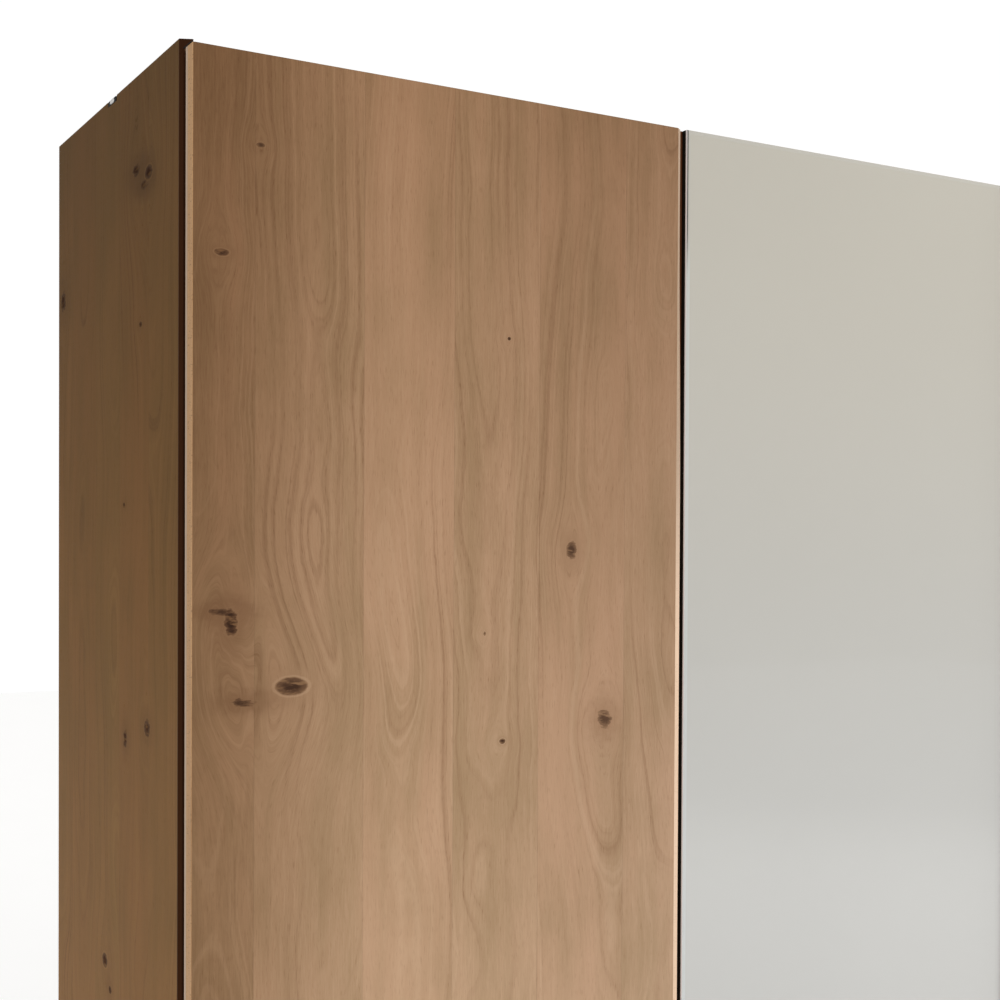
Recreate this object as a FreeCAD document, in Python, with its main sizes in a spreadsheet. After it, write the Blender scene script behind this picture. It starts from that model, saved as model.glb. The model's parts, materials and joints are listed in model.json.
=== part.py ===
"""Sliding door wardrobe: a three metre case with two leaves that hang in front of it on a double top track.

Frame: +Z up, +X to the right, the doors face -Y. The origin is the middle of the footprint, on the floor.
All sizes are millimetres.
"""
import FreeCAD
import Part
import Sketcher
import os
import re

# Driving dimensions. Every one of them is a cell of the spreadsheet "sizes".
SIZES = {
    "overall_width": 3000,
    "overall_height": 2170,
    "case_depth": 585,
    # how the leaves stand in front of the case
    "leaf_clearance": 23,
    "leaf_thickness": 26,
    "leaf_gap": 12,
    "leaf_inset": 1,
    "leaf_overlap": 30,
    "rear_leaf_low": 45,
    "rear_leaf_high": 2152.5,
    "front_leaf_low": 25,
    "front_leaf_high": 2164,
    # boards of the case
    "side_board": 16,
    "deck_board": 22,
    "partition_board": 16,
    "shelf_board": 16,
    "plinth_board": 16,
    "back_board": 4,
    "back_inset": 2,
    "back_seam": 4,
    "edge_band": 2,
    "side_foot": 6,
    "plinth_height": 80,
    "plinth_clearance": 10,
    "plinth_setback": 89,
    "rear_plinth_setback": 20,
    "top_recess": 60,
    # trim of the sides
    "lip_depth": 16,
    "lip_end_drop": 20,
    "cap_front_drop": 15,
    "cap_thickness": 1.5,
    "cap_width": 2,
    "notch_middle": 42,
    "notch_length": 44,
    "notch_height": 8,
    "notch_depth": 8,
    "clip_length": 28,
    "clip_height": 6,
    # inside
    "shelf_setback": 40,
    "hat_shelf_height": 1740,
    "first_shelf_height": 420,
    "shelf_pitch": 340,
    "clothes_rail_height": 1672,
    "clothes_rail_middle": 45,
    "clothes_rail_radius": 12.5,
    "clothes_rail_wall": 1.5,
    "flange_radius": 19,
    "flange_plate": 3,
    "flange_collar": 12,
    "flange_play": 0.1,
    "flange_wall": 2.5,
    "pin_radius": 2.5,
    "pin_set": 7,
    "pin_reach": 9,
    "pin_margin": 50,
    "cam_radius": 7.5,
    "cam_set": 12,
    "cam_proud": 0.5,
    "cam_margin": 34,
    "cam_front": 60,
    "joint_strip_width": 30,
    "joint_strip": 1.5,
    # leaf make-up
    "carrier_board": 8,
    "glass_sheet": 4,
    "groove_width": 9,
    "groove_shift": 0.5,
    "inlay": 6,
    "outer_lipping": 3,
    "inner_lipping": 8,
    # tracks
    "track_width": 84,
    "track_base": 2.5,
    "track_end_gap": 20,
    "rail_setback": 24,
    "rail_spacing": 40,
    "rib_half": 1.5,
    "rib_height": 7.5,
    "rib_chamfer": 0.8,
    "channel_inner": 18,
    "channel_wall": 2,
    "channel_depth": 22,
    "stop_length": 30,
    "stop_half": 6,
    "stop_height": 30,
    "stop_play": 2,
    # running gear
    "wheel_rim": 16,
    "wheel_groove": 13,
    "wheel_half": 6,
    "groove_floor_half": 1.8,
    "groove_mouth_half": 4,
    "axle_radius": 3,
    "bore_play": 0.05,
    "running_gap": 0.3,
    "collar_radius": 5,
    "retainer": 2,
    "side_play": 0.5,
    "bent_plate": 3,
    "hanger_width": 120,
    "hanger_inset": 160,
    "hanger_low": 2060,
    "wheel_plate_gap": 2,
    "rear_web_height": 2121,
    "rear_plate_top": 2150,
    "front_web_height": 2157,
    "front_plate_low": 2118,
    "guide_width": 60,
    "guide_high": 100,
    "rear_guide_web": 48,
    "front_guide_web": 34,
    "roller_rim": 8.6,
    "roller_crown": 8.0,
    "roller_low": 58,
    "roller_height": 13,
    "guide_pin_radius": 2.5,
    "guide_collar": 4,
    # fastenings and feet
    "screw_head_radius": 4,
    "screw_head": 2,
    "screw_shank_radius": 2,
    "case_screw_length": 20,
    "leaf_screw_length": 10,
    "foot_radius": 22,
    "foot_pad": 8,
    "foot_screw_radius": 5,
    "glide_radius": 7,
    "bracket_width": 40,
    "bracket_reach": 50,
    "bracket_height": 42,
    "bracket_plate": 2.5,
    "bracket_line": 1284,
    "bracket_hole_height": 28,
    "bracket_hole_radius": 2.75,
}

# Places that follow from the driving dimensions.
DERIVED = {
    "half_width": "overall_width / 2",
    "inner_width": "half_width - side_board",
    "case_back": "(case_depth + leaf_clearance + 2 * leaf_thickness + leaf_gap) / 2",
    "case_front": "case_back - case_depth",
    "rear_leaf_back": "case_front - leaf_clearance",
    "front_leaf_back": "rear_leaf_back - leaf_thickness - leaf_gap",
    "board_front": "case_front + edge_band",
    "back_rear": "case_back - back_inset",
    "back_front": "back_rear - back_board",
    "shelf_front": "board_front + shelf_setback",
    "floor_top": "plinth_height + deck_board",
    "case_top": "overall_height - top_recess",
    "ceiling": "case_top - deck_board",
    "leaf_outer": "half_width - leaf_inset",
    "leaf_inner": "leaf_overlap / 2",
    "joint_line": "(leaf_outer - leaf_inner) / 2",
    "track_end": "half_width - track_end_gap",
    "track_rear": "case_front + track_width",
    "rear_rail": "case_front + rail_setback",
    "front_rail": "rear_rail + rail_spacing",
    "between_rails": "rear_rail + rail_spacing / 2",
    "track_top": "case_top + track_base",
    "rail_top": "track_top + rib_height",
    "wheel_height": "rail_top + wheel_groove + running_gap",
    "channel_top": "plinth_height - track_base",
    "channel_low": "channel_top - channel_depth",
    "channel_half": "channel_inner / 2",
    "channel_outer": "channel_half + channel_wall",
    "outer_hanger": "leaf_outer - hanger_inset",
    "inner_hanger": "hanger_inset - leaf_inner",
    "stop_start": "outer_hanger + wheel_rim + stop_play",
    "lip_top": "overall_height - lip_end_drop",
}

document = FreeCAD.newDocument("wardrobe")
sheet = document.addObject("Spreadsheet::Sheet", "sizes")
for row, (alias, number) in enumerate(SIZES.items(), start=1):
    sheet.set(f"A{row}", alias.replace("_", " "))
    sheet.set(f"B{row}", str(number))
    sheet.setAlias(f"B{row}", alias)
document.recompute()

nodes = []


def formula(text):
    """Spell a size out for the expression engine: cells get the sheet's name, derived names their formula."""
    def spelled(match):
        word = match.group(0)
        if word in DERIVED:
            return "(" + formula(DERIVED[word]) + ")"
        return "sizes." + word if word in SIZES else word
    return re.sub(r"[a-z_]+", spelled, str(text))


def number(text):
    """The present value of a formula, for the starting shape of a sketch."""
    return float(sheet.evalExpression(formula(text)))


def bind(item, path, text):
    item.setExpression(path, formula(text))


def place(item, across, deep, tall):
    for letter, text in zip("xyz", (across, deep, tall)):
        bind(item, f"Placement.Base.{letter}", text)


def node(item, label):
    """Name a finished sub-part; the label is also its file name."""
    item.Label = label
    nodes.append(item)
    return item


def group(label, pieces):
    """Several separate solids that share one node."""
    compound = document.addObject("Part::Compound", "group_of_" + label)
    compound.Links = pieces
    return node(compound, label)


def flip(span, side):
    """A span along X, given for the right half, on the side asked for: 1 right, -1 left."""
    low, high = span
    return span if side > 0 else (f"-({high})", f"-({low})")


def box(name, across, deep, tall):
    """A board between two planes on each axis."""
    board = document.addObject("Part::Box", name)
    for size, (low, high) in zip(("Length", "Width", "Height"), (across, deep, tall)):
        bind(board, size, f"({high}) - ({low})")
    place(board, across[0], deep[0], tall[0])
    return board


TURNS = {
    "x": FreeCAD.Rotation(FreeCAD.Vector(0, 1, 0), 90),
    "y": FreeCAD.Rotation(FreeCAD.Vector(1, 0, 0), -90),
    "-y": FreeCAD.Rotation(FreeCAD.Vector(1, 0, 0), 90),
    "z": FreeCAD.Rotation(),
    "-z": FreeCAD.Rotation(FreeCAD.Vector(1, 0, 0), 180),
}


def rod(name, direction, radius, length, across, deep, tall):
    """A cylinder that starts at the given point and runs along the given direction."""
    cylinder = document.addObject("Part::Cylinder", name)
    cylinder.Placement = FreeCAD.Placement(FreeCAD.Vector(), TURNS[direction])
    bind(cylinder, "Radius", radius)
    bind(cylinder, "Height", length)
    place(cylinder, across, deep, tall)
    return cylinder


def joined(name, first, second):
    fuse = document.addObject("Part::Fuse", name)
    fuse.Base = first
    fuse.Tool = second
    return fuse


def less(name, body, tool):
    cut = document.addObject("Part::Cut", name)
    cut.Base = body
    cut.Tool = tool
    return cut


def outline(body, plane_role, corners):
    """A closed sketch on one of the body's own planes, each corner bound to the sheet."""
    sketch = body.newObject("Sketcher::SketchObject", body.Name + "_outline")
    plane = next(item for item in body.Origin.OriginFeatures if item.Role == plane_role)
    sketch.AttachmentSupport = (plane, [""])
    sketch.MapMode = "FlatFace"
    points = [FreeCAD.Vector(number(first), number(second), 0) for first, second in corners]
    count = len(points)
    following = [(index + 1) % count for index in range(count)]
    sketch.addGeometry([Part.LineSegment(points[i], points[j]) for i, j in enumerate(following)], False)
    sketch.addConstraint([Sketcher.Constraint("Coincident", i, 2, j, 1) for i, j in enumerate(following)])
    for index, corner in enumerate(corners):
        for kind, text, value in zip(("DistanceX", "DistanceY"), corner, points[index]):
            at = sketch.addConstraint(Sketcher.Constraint(kind, -1, 1, index, 1, value))
            sketch.renameConstraint(at, f"{kind}{index}")
            bind(sketch, f"Constraints.{kind}{index}", text)
    return sketch


def extrusion(name, corners, across):
    """A profile of (depth, height) corners, padded along X."""
    body = document.addObject("PartDesign::Body", name)
    pad = body.newObject("PartDesign::Pad", name + "_pad")
    pad.Profile = outline(body, "YZ_Plane", corners)
    bind(pad, "Length", f"({across[1]}) - ({across[0]})")
    bind(body, "Placement.Base.x", across[0])
    return body


def turned(name, plane_role, axis, corners, across, deep, tall):
    """A profile turned through a full circle about a sketch axis."""
    body = document.addObject("PartDesign::Body", name)
    revolution = body.newObject("PartDesign::Revolution", name + "_turn")
    sketch = outline(body, plane_role, corners)
    revolution.Profile = sketch
    revolution.ReferenceAxis = (sketch, [axis])
    revolution.Angle = 360
    place(body, across, deep, tall)
    return body


def screw(name, direction, length, across, deep, tall):
    """A pan-head screw; the point given is the seat of the head, the shank runs along the direction."""
    opposite = direction.strip("-") if direction.startswith("-") else "-" + direction
    head = rod(name + "_head", opposite, "screw_head_radius", "screw_head", across, deep, tall)
    shank = rod(name + "_shank", direction, "screw_shank_radius", length, across, deep, tall)
    return joined(name, head, shank)


SIDES = {"left": -1, "right": 1}
OUTER_BAY = ("joint_line + partition_board / 2", "inner_width")
INNER_BAY = ("partition_board / 2", "joint_line - partition_board / 2")
DECK_SPAN = ("0", "inner_width")
BOARD_DEPTH = ("board_front", "back_front")


def side_panel(label, side):
    """An outer side with the small notch that holds the clip of the dust cover."""
    board = box("side_board_of_" + label, flip(("inner_width", "half_width"), side),
                ("board_front", "case_back"), ("side_foot", "overall_height"))
    notch = box("notch_of_" + label, flip(("half_width - notch_depth", "half_width"), side),
                ("notch_middle - notch_length / 2", "notch_middle + notch_length / 2"),
                ("overall_height - notch_height", "overall_height"))
    node(less("cut_" + label, board, notch), label)


def top_clips():
    clips = [box("clip", flip(("half_width - notch_depth", "half_width - 1"), side),
                 ("notch_middle - clip_length / 2", "notch_middle + clip_length / 2"),
                 ("overall_height - notch_height", "overall_height - notch_height + clip_height"))
             for side in SIDES.values()]
    group("top_clips", clips)


def decks():
    """Top and bottom boards: each deck is two boards that meet over the centre partition."""
    heights = {"bottom_board": ("plinth_height", "floor_top"), "top_board": ("ceiling", "case_top")}
    for kind, tall in heights.items():
        for word, side in SIDES.items():
            node(box(f"{kind}_{word}_box", flip(DECK_SPAN, side), BOARD_DEPTH, tall), f"{kind}_{word}")


def partitions():
    for word, middle in (("left", "-joint_line"), ("centre", "0"), ("right", "joint_line")):
        across = (f"{middle} - partition_board / 2", f"{middle} + partition_board / 2")
        node(box(f"partition_{word}_box", across, BOARD_DEPTH, ("floor_top", "ceiling")), f"partition_{word}")


def edge_bands():
    """The bands on the front edges of the sides, decks and partitions."""
    deep = ("case_front", "board_front")
    bands = []
    for side in SIDES.values():
        bands.append(box("side_band", flip(("inner_width", "half_width"), side), deep,
                         ("side_foot", "overall_height")))
        for tall in (("plinth_height", "floor_top"), ("ceiling", "case_top")):
            bands.append(box("deck_band", flip(DECK_SPAN, side), deep, tall))
    for middle in ("-joint_line", "0", "joint_line"):
        across = (f"{middle} - partition_board / 2", f"{middle} + partition_board / 2")
        bands.append(box("partition_band", across, deep, ("floor_top", "ceiling")))
    group("edge_bands", bands)


def side_trim():
    """Dust lips on the front edges of the sides, and the sloping caps that close them at the top."""
    lips = [box("lip", flip(("inner_width", "half_width"), side), ("case_front - lip_depth", "case_front"),
                ("side_foot", "lip_top")) for side in SIDES.values()]
    group("dust_lips", lips)
    reach = "rear_leaf_back - leaf_thickness"
    corners = [("case_front", "lip_top"), ("case_front", "overall_height"),
               (reach, "overall_height - cap_front_drop"),
               (reach, "overall_height - cap_front_drop - cap_thickness"),
               ("case_front - lip_depth", "overall_height - cap_front_drop - cap_thickness"),
               ("case_front - lip_depth", "lip_top")]
    caps = [extrusion(f"cap_{word}", corners, flip(("half_width - cap_width", "half_width"), side))
            for word, side in SIDES.items()]
    group("lip_caps", caps)


def back():
    """Thin back panels, one behind each bay, with strips over their seams."""
    spans = (("joint_line + back_seam / 2", "inner_width"), ("back_seam / 2", "joint_line - back_seam / 2"))
    panels = [box("back_board_piece", flip(span, side), ("back_front", "back_rear"), ("plinth_height", "case_top"))
              for side in SIDES.values() for span in spans]
    group("back_panels", panels)
    strips = [box("seam_strip", (f"{middle} - joint_strip_width / 2", f"{middle} + joint_strip_width / 2"),
                  ("back_rear", "back_rear + joint_strip"), ("plinth_height", "case_top"))
              for middle in ("-joint_line", "0", "joint_line")]
    group("back_joint_strips", strips)


def plinths():
    across = ("-inner_width", "inner_width")
    tall = ("plinth_clearance", "plinth_height")
    node(box("plinth_front_box", across,
             ("case_front + plinth_setback", "case_front + plinth_setback + plinth_board"), tall), "plinth_front")
    node(box("plinth_rear_box", across,
             ("case_back - rear_plinth_setback - plinth_board", "case_back - rear_plinth_setback"), tall),
         "plinth_rear")


def feet():
    """Levelling feet under the bottom boards, behind the front plinth, and glides under the two sides."""
    rows = ("case_front + plinth_setback + 60", "case_back - 100")
    lines = ("-inner_width + 70", "-joint_line", "0", "joint_line", "inner_width - 70")
    spots = [(across, deep) for across in lines for deep in rows]
    group("foot_pads", [rod("pad", "z", "foot_radius", "foot_pad", across, deep, 0) for across, deep in spots])
    group("foot_screws", [rod("foot_screw", "z", "foot_screw_radius", "plinth_height - foot_pad",
                              across, deep, "foot_pad") for across, deep in spots])
    middles = ("-half_width + side_board / 2", "half_width - side_board / 2")
    group("side_glides", [rod("glide", "z", "glide_radius", "side_foot", across, deep, 0)
                          for across in middles for deep in ("case_front + 30", "case_back - 30")])


def shelf(name, bay, underside):
    return box(name, bay, ("shelf_front", "back_front"), (underside, f"{underside} + shelf_board"))


def shelf_supports(bay, underside):
    """Four round pins under a shelf, set into the boards on both sides of the bay."""
    pins = []
    for deep in ("shelf_front + pin_margin", "back_front - pin_margin"):
        for start in (f"{bay[0]} - pin_set", f"{bay[1]} - pin_reach"):
            pins.append(rod("shelf_pin", "x", "pin_radius", "pin_set + pin_reach", start, deep,
                            f"{underside} - pin_radius"))
    return pins


def shelves():
    """A hat shelf over each outer bay and four shelves in each inner bay, all on pins."""
    inner_heights = [f"first_shelf_height + {step} * shelf_pitch" for step in range(4)]
    hats = []
    inner = []
    pins = []
    for side in SIDES.values():
        outer_bay = flip(OUTER_BAY, side)
        inner_bay = flip(INNER_BAY, side)
        hats.append(shelf("hat_board", outer_bay, "hat_shelf_height"))
        pins += shelf_supports(outer_bay, "hat_shelf_height")
        for height in inner_heights:
            inner.append(shelf("inner_board", inner_bay, height))
            pins += shelf_supports(inner_bay, height)
    group("hat_shelves", hats)
    group("inner_shelves", inner)
    group("shelf_pins", pins)


def clothes_rails():
    """A round tube across each outer bay, held in a flange with a collar at either end."""
    bore = "clothes_rail_radius + flange_play"
    spot = ("clothes_rail_middle", "clothes_rail_height")
    tubes = []
    flanges = []
    for side in SIDES.values():
        low, high = flip(OUTER_BAY, side)
        start = f"{low} + flange_plate"
        length = f"({high}) - ({low}) - 2 * flange_plate"
        outside = rod("tube_outside", "x", "clothes_rail_radius", length, start, *spot)
        inside = rod("tube_inside", "x", "clothes_rail_radius - clothes_rail_wall", length, start, *spot)
        tubes.append(less("tube", outside, inside))
        for plate_start, collar_start in ((low, low), (f"{high} - flange_plate", f"{high} - flange_collar")):
            plate = rod("flange_disc", "x", "flange_radius", "flange_plate", plate_start, *spot)
            collar = rod("collar_outside", "x", f"{bore} + flange_wall", "flange_collar", collar_start, *spot)
            socket_start = f"{low} + flange_plate" if plate_start == low else collar_start
            socket = rod("collar_inside", "x", bore, "flange_collar - flange_plate", socket_start, *spot)
            flanges.append(less("rail_flange", joined("flange_blank", plate, collar), socket))
    group("clothes_rails", tubes)
    group("rail_flanges", flanges)


def cam_locks():
    """Cams that pull the decks to the sides and partitions, set into the inner faces of the decks."""
    lines = ("inner_width - cam_margin", f"{OUTER_BAY[0]} + cam_margin",
             f"{INNER_BAY[1]} - cam_margin", f"{INNER_BAY[0]} + cam_margin")
    cams = []
    for side in SIDES.values():
        for line in lines:
            for deep in ("board_front + cam_front", "back_front - cam_front"):
                across = f"{side} * ({line})"
                cams.append(rod("cam", "z", "cam_radius", "cam_set + cam_proud", across, deep,
                                "ceiling - cam_proud"))
                cams.append(rod("cam", "z", "cam_radius", "cam_set + cam_proud", across, deep,
                                "floor_top - cam_set"))
    group("cam_locks", cams)


def rib(middle):
    """Corners of one running rib, from its front foot to its rear foot."""
    return [(f"{middle} - rib_half", "track_top"),
            (f"{middle} - rib_half", "rail_top - rib_chamfer"),
            (f"{middle} - rib_half + rib_chamfer", "rail_top"),
            (f"{middle} + rib_half - rib_chamfer", "rail_top"),
            (f"{middle} + rib_half", "rail_top - rib_chamfer"),
            (f"{middle} + rib_half", "track_top")]


def channel(middle):
    """Corners of one guide channel, open below, from its rear wall to its front wall."""
    return [(f"{middle} + channel_outer", "channel_top"),
            (f"{middle} + channel_outer", "channel_low"),
            (f"{middle} + channel_half", "channel_low"),
            (f"{middle} + channel_half", "channel_top"),
            (f"{middle} - channel_half", "channel_top"),
            (f"{middle} - channel_half", "channel_low"),
            (f"{middle} - channel_outer", "channel_low"),
            (f"{middle} - channel_outer", "channel_top")]


def tracks():
    """The double running track on the top boards and the double guide track under the bottom boards."""
    along = ("-track_end", "track_end")
    top = [("case_front", "case_top"), ("case_front", "track_top")] + rib("rear_rail") + rib("front_rail")
    top += [("track_rear", "track_top"), ("track_rear", "case_top")]
    node(extrusion("top_track_profile", top, along), "top_track")
    bottom = [("case_front", "plinth_height"), ("track_rear", "plinth_height"), ("track_rear", "channel_top")]
    bottom += channel("front_rail") + channel("rear_rail") + [("case_front", "channel_top")]
    node(extrusion("bottom_track_profile", bottom, along), "bottom_track")


def end_stops():
    """A buffer astride each rib at both ends of the travel of the wheels."""
    stops = []
    for rail in ("rear_rail", "front_rail"):
        for side in SIDES.values():
            across = flip(("stop_start", "stop_start + stop_length"), side)
            block = box("stop_block", across, (f"{rail} - stop_half", f"{rail} + stop_half"),
                        ("track_top", "track_top + stop_height"))
            slot = box("stop_slot", across, (f"{rail} - rib_half", f"{rail} + rib_half"), ("track_top", "rail_top"))
            stops.append(less("stop", block, slot))
    group("end_stops", stops)


def wall_brackets():
    """Two angles on the top boards; each upright flange stands flat on the wall behind."""
    corners = [("case_back - bracket_reach", "case_top"), ("case_back", "case_top"),
               ("case_back", "case_top + bracket_height"),
               ("case_back - bracket_plate", "case_top + bracket_height"),
               ("case_back - bracket_plate", "case_top + bracket_plate"),
               ("case_back - bracket_reach", "case_top + bracket_plate")]
    brackets = []
    for word, side in SIDES.items():
        angle = extrusion(f"angle_{word}", corners,
                          flip(("bracket_line - bracket_width / 2", "bracket_line + bracket_width / 2"), side))
        hole = rod("anchor_hole", "y", "bracket_hole_radius", "2 * bracket_plate", f"{side} * bracket_line",
                   "case_back - 1.5 * bracket_plate", "case_top + bracket_hole_height")
        brackets.append(less("wall_bracket", angle, hole))
    group("wall_brackets", brackets)


def case_screws():
    """Screws of both tracks, on the line between the rails, and of the wall brackets."""
    screws = []
    for side in SIDES.values():
        for step in range(4):
            across = f"{side} * (joint_line / 4 + {step} * joint_line / 2)"
            screws.append(screw("top_screw", "-z", "case_screw_length", across, "between_rails", "track_top"))
            screws.append(screw("bottom_screw", "z", "case_screw_length", across, "between_rails", "channel_top"))
        for shift in (-1, 1):
            across = f"{side} * bracket_line + {shift} * bracket_width / 4"
            screws.append(screw("bracket_screw", "-z", "case_screw_length", across,
                                "case_back - bracket_reach * 0.7", "case_top + bracket_plate"))
    group("case_screws", screws)


def leaf_boards(word, side, back_face, low, high):
    """Carrier board with an oak field on the outer half, a glass field on the inner half, a groove between."""
    face = f"{back_face} - leaf_thickness"
    field = f"{back_face} - carrier_board"
    outer_edge = "joint_line + groove_shift + groove_width / 2"
    inner_edge = "joint_line + groove_shift - groove_width / 2"
    tall = (low, high)
    front = (face, field)
    node(box(f"{word}_carrier_box", flip(("-leaf_inner", "leaf_outer"), side), (field, back_face), tall),
         f"{word}_carrier")
    oak = flip((f"{outer_edge} + inner_lipping", "leaf_outer - outer_lipping"), side)
    node(box(f"{word}_oak_box", oak, front, tall), f"{word}_oak_panel")
    edges = ((f"{outer_edge}", f"{outer_edge} + inner_lipping"), ("leaf_outer - outer_lipping", "leaf_outer"))
    group(f"{word}_oak_lippings", [box(f"{word}_lipping", flip(edge, side), front, tall) for edge in edges])
    glass = flip(("-leaf_inner", inner_edge), side)
    node(box(f"{word}_backing_box", glass, (f"{face} + glass_sheet", field), tall), f"{word}_glass_backing")
    node(box(f"{word}_glass_box", glass, (face, f"{face} + glass_sheet"), tall), f"{word}_glass")
    node(box(f"{word}_inlay_box", flip((inner_edge, outer_edge), side), (f"{field} - inlay", field), tall),
         f"{word}_grip_inlay")


def rear_hanger_profile():
    """The rear leaf's plate steps back over the front edge of the case, then up beside the wheel."""
    plate = "rear_rail - wheel_half - wheel_plate_gap"
    return plate, [("rear_leaf_back", "hanger_low"), ("rear_leaf_back + bent_plate", "hanger_low"),
                   ("rear_leaf_back + bent_plate", "rear_web_height"), (plate, "rear_web_height"),
                   (plate, "rear_plate_top"), (f"{plate} - bent_plate", "rear_plate_top"),
                   (f"{plate} - bent_plate", "rear_web_height + bent_plate"),
                   ("rear_leaf_back", "rear_web_height + bent_plate")]


def front_hanger_profile():
    """The front leaf's plate reaches back over the top of the rear leaf, then down beside the wheel."""
    plate = "front_rail - wheel_half - wheel_plate_gap"
    return plate, [("front_leaf_back", "hanger_low"), ("front_leaf_back + bent_plate", "hanger_low"),
                   ("front_leaf_back + bent_plate", "front_web_height"),
                   (f"{plate} - bent_plate", "front_web_height"), (f"{plate} - bent_plate", "front_plate_low"),
                   (plate, "front_plate_low"), (plate, "front_web_height + bent_plate"),
                   ("front_leaf_back", "front_web_height + bent_plate")]


def guide_profile(back_face, web, rail):
    """An angle under the leaf whose web reaches below the guide channel."""
    return [(back_face, web), (f"{rail} + 3 * guide_collar", web), (f"{rail} + 3 * guide_collar", f"{web} + bent_plate"),
            (f"{back_face} + bent_plate", f"{web} + bent_plate"), (f"{back_face} + bent_plate", "guide_high"),
            (back_face, "guide_high")]


WHEEL_SECTION = [("-wheel_half", "axle_radius + bore_play"), ("-wheel_half", "wheel_rim"),
                 ("-groove_mouth_half", "wheel_rim"), ("-groove_floor_half", "wheel_groove"),
                 ("groove_floor_half", "wheel_groove"), ("groove_mouth_half", "wheel_rim"),
                 ("wheel_half", "wheel_rim"), ("wheel_half", "axle_radius + bore_play")]

ROLLER_SECTION = [("guide_pin_radius + bore_play", "0"), ("roller_crown", "0"), ("roller_rim", "roller_height / 4"),
                  ("roller_rim", "3 * roller_height / 4"), ("roller_crown", "roller_height"),
                  ("guide_pin_radius + bore_play", "roller_height")]


def hangers(word, spots, rail, hanger_profile):
    """Bent plates with a welded axle each, and the grooved wheels that run on them."""
    plate, corners = hanger_profile()
    pieces = []
    for index, spot in enumerate(spots, start=1):
        name = f"{word}_hanger_{index}"
        along = (f"{spot} - hanger_width / 2", f"{spot} + hanger_width / 2")
        collar = rod(name + "_collar", "y", "collar_radius", "wheel_plate_gap - side_play", spot, plate,
                     "wheel_height")
        axle = rod(name + "_axle", "y", "axle_radius",
                   "wheel_plate_gap + 2 * wheel_half + side_play + retainer", spot, plate, "wheel_height")
        retainer = rod(name + "_retainer", "y", "collar_radius", "retainer", spot,
                       f"{rail} + wheel_half + side_play", "wheel_height")
        spindle = joined(name + "_spindle", joined(name + "_stub", collar, axle), retainer)
        pieces.append(joined(name, extrusion(name + "_plate", corners, along), spindle))
        wheel = turned(f"{word}_wheel_{index}_turned", "YZ_Plane", "H_Axis", WHEEL_SECTION, spot, rail,
                       "wheel_height")
        node(wheel, f"{word}_wheel_{index}")
    group(f"{word}_hangers", pieces)


def guides(word, spots, rail, back_face, web):
    """Angles at the foot of the leaf with a pin each, and the rollers that run in the guide channel."""
    pieces = []
    for index, spot in enumerate(spots, start=1):
        name = f"{word}_guide_{index}"
        along = (f"{spot} - guide_width / 2", f"{spot} + guide_width / 2")
        web_top = f"{web} + bent_plate"
        collar = rod(name + "_collar", "z", "guide_collar", f"roller_low - side_play - ({web_top})", spot, rail,
                     web_top)
        pin = rod(name + "_pin", "z", "guide_pin_radius",
                  f"roller_low + roller_height + side_play + retainer - ({web_top})", spot, rail, web_top)
        retainer = rod(name + "_retainer", "z", "guide_collar", "retainer", spot, rail,
                       "roller_low + roller_height + side_play")
        spindle = joined(name + "_spindle", joined(name + "_stub", collar, pin), retainer)
        angle = extrusion(name + "_angle", guide_profile(back_face, web, rail), along)
        pieces.append(joined(name, angle, spindle))
        roller = turned(f"{word}_guide_roller_{index}_turned", "XZ_Plane", "V_Axis", ROLLER_SECTION, spot, rail,
                        "roller_low")
        node(roller, f"{word}_guide_roller_{index}")
    group(f"{word}_guide_brackets", pieces)


def leaf_screws(word, spots, back_face):
    """Screws that hold the hangers and the guide angles to the carrier board."""
    seat = f"{back_face} + bent_plate"
    screws = []
    for spot in spots:
        for shift in (-1, 1):
            screws.append(screw(f"{word}_screw", "-y", "leaf_screw_length", f"{spot} + {shift} * hanger_width / 3",
                                seat, "hanger_low + 25"))
            screws.append(screw(f"{word}_screw", "-y", "leaf_screw_length", f"{spot} + {shift} * guide_width / 3",
                                seat, "guide_high - 15"))
    group(f"{word}_door_screws", screws)


def leaf(word, side, rail, back_face, low, high, hanger_profile, web):
    spots = [f"{side} * (outer_hanger)", f"{side} * (inner_hanger)"]
    leaf_boards(word, side, back_face, low, high)
    hangers(word, spots, rail, hanger_profile)
    guides(word, spots, rail, back_face, web)
    leaf_screws(word, spots, back_face)


side_panel("side_panel_left", SIDES["left"])
side_panel("side_panel_right", SIDES["right"])
top_clips()
decks()
partitions()
edge_bands()
side_trim()
back()
plinths()
feet()
shelves()
clothes_rails()
cam_locks()
tracks()
end_stops()
wall_brackets()
case_screws()
leaf("left", SIDES["left"], "rear_rail", "rear_leaf_back", "rear_leaf_low", "rear_leaf_high",
     rear_hanger_profile, "rear_guide_web")
leaf("right", SIDES["right"], "front_rail", "front_leaf_back", "front_leaf_low", "front_leaf_high",
     front_hanger_profile, "front_guide_web")

document.recompute()
for item in document.Objects:
    if "Invalid" in item.State or "Error" in item.State:
        raise RuntimeError(f"{item.Label} did not recompute: {item.State}")
for item in nodes:
    if item.Shape.isNull() or not item.Shape.isValid():
        raise RuntimeError(f"{item.Label} has no valid shape")

os.makedirs("parts", exist_ok=True)
for item in nodes:
    item.Shape.exportStep(f"parts/{item.Label}.step")
    bounds = item.Shape.BoundBox
    print(f"{item.Label}: {len(item.Shape.Solids)} solid(s), {item.Shape.Volume / 1e6:.3f} litres, "
          f"X {bounds.XMin:.1f}..{bounds.XMax:.1f} Y {bounds.YMin:.1f}..{bounds.YMax:.1f} "
          f"Z {bounds.ZMin:.1f}..{bounds.ZMax:.1f}")
print(len(nodes), "nodes")
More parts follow.
